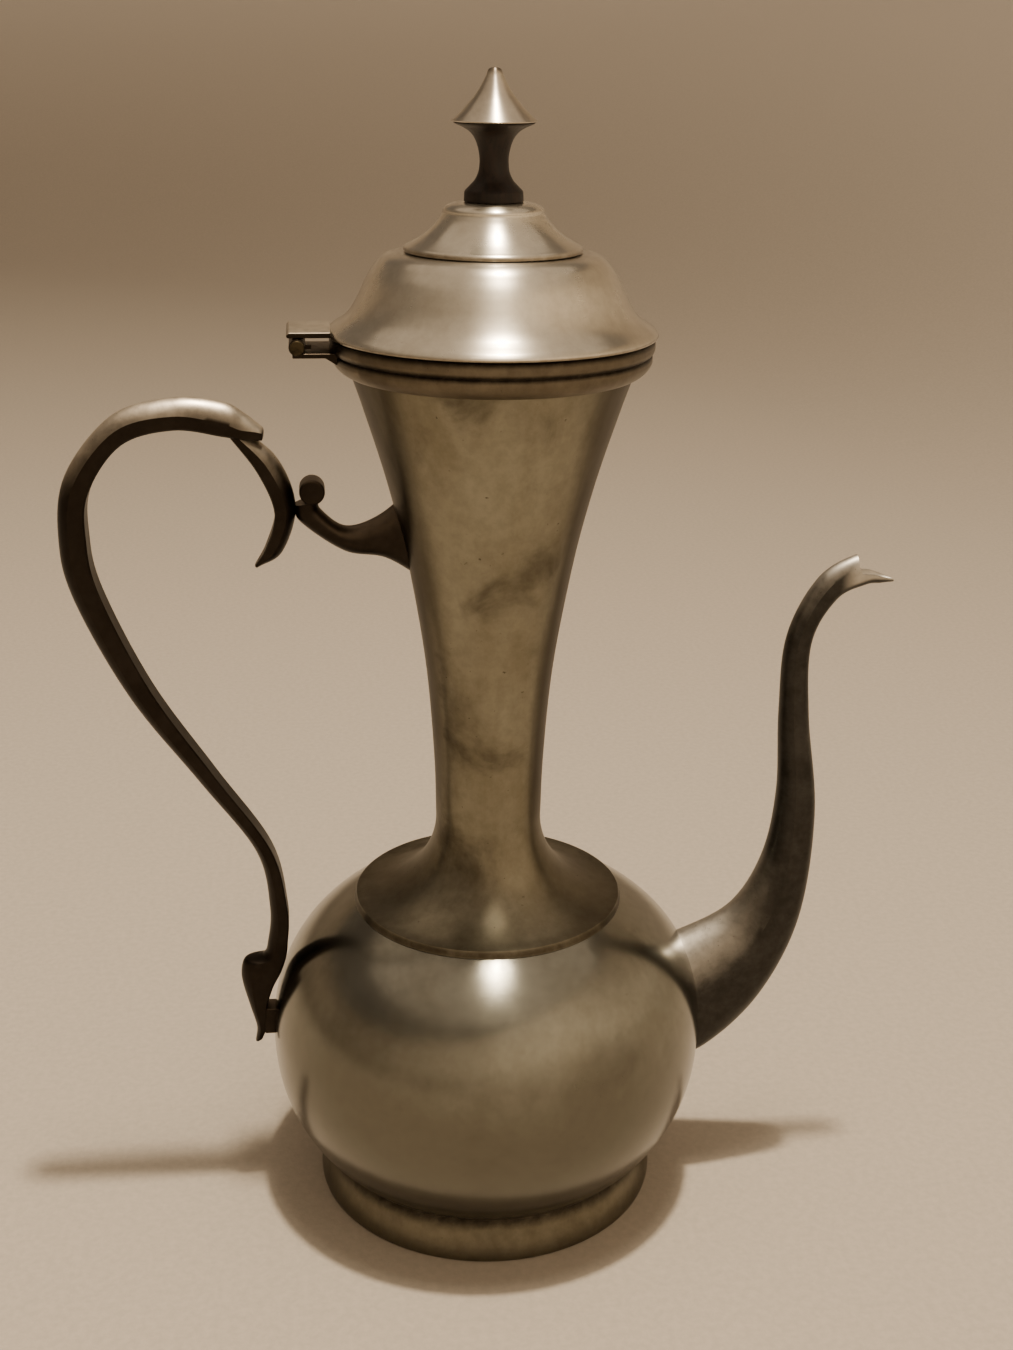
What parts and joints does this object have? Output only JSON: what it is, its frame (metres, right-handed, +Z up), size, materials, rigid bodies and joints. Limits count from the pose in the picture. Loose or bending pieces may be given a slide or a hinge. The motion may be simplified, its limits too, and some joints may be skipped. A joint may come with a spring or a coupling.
{
  "type": "dallah coffee pot",
  "caption": "Tall coffee pot with a round belly, waisted neck, curved beak spout, S-shaped handle and hinged domed lid with a turned knob.",
  "frame": {"origin": "on the pot's turned axis, on the surface it stands on", "axes": "+Z up along the turned axis; +X towards the spout's tip; the handle and the lid hinge are on the -X side; +Y completes the right-handed frame"},
  "size_m": [0.2282, 0.1266, 0.32],
  "materials": {
    "satin_pewter": "satin pewter with a warm grey-gold tarnish",
    "tarnished_pewter": "satin pewter with a mottled brown-gold tarnish",
    "cast_pewter": "cast and filed pewter, dull in the hollows",
    "ebonised_wood": "turned wood, stained black and polished",
    "steel": "plain turned steel",
    "dull_brass": "dull brass"
  },
  "bodies": {
    "pot": {"foot_ring": "cast_pewter", "base_plate": "satin_pewter", "belly": "satin_pewter", "neck": "tarnished_pewter", "mouth_collar": "tarnished_pewter", "spout": "cast_pewter", "handle_bar": "cast_pewter", "handle_lug": "cast_pewter", "handle_bracket": "cast_pewter", "hinge_bracket": "cast_pewter", "hinge_pin": "dull_brass"},
    "lid": {"lid_hinge_leaf": "cast_pewter", "lid_dome": "satin_pewter", "lid_crown": "satin_pewter", "lid_bezel": "satin_pewter", "knob_grip": "ebonised_wood", "knob_finial": "satin_pewter", "knob_stud": "steel", "knob_washer": "steel", "knob_nut": "steel"}
  },
  "joints": [
    {"name": "lid_hinge", "type": "hinge", "parent": "pot", "child": "lid", "pos_m": [-0.0506, 0, 0.2528], "axis": [0, -1, 0], "range_deg": [0, 105]}
  ]
}
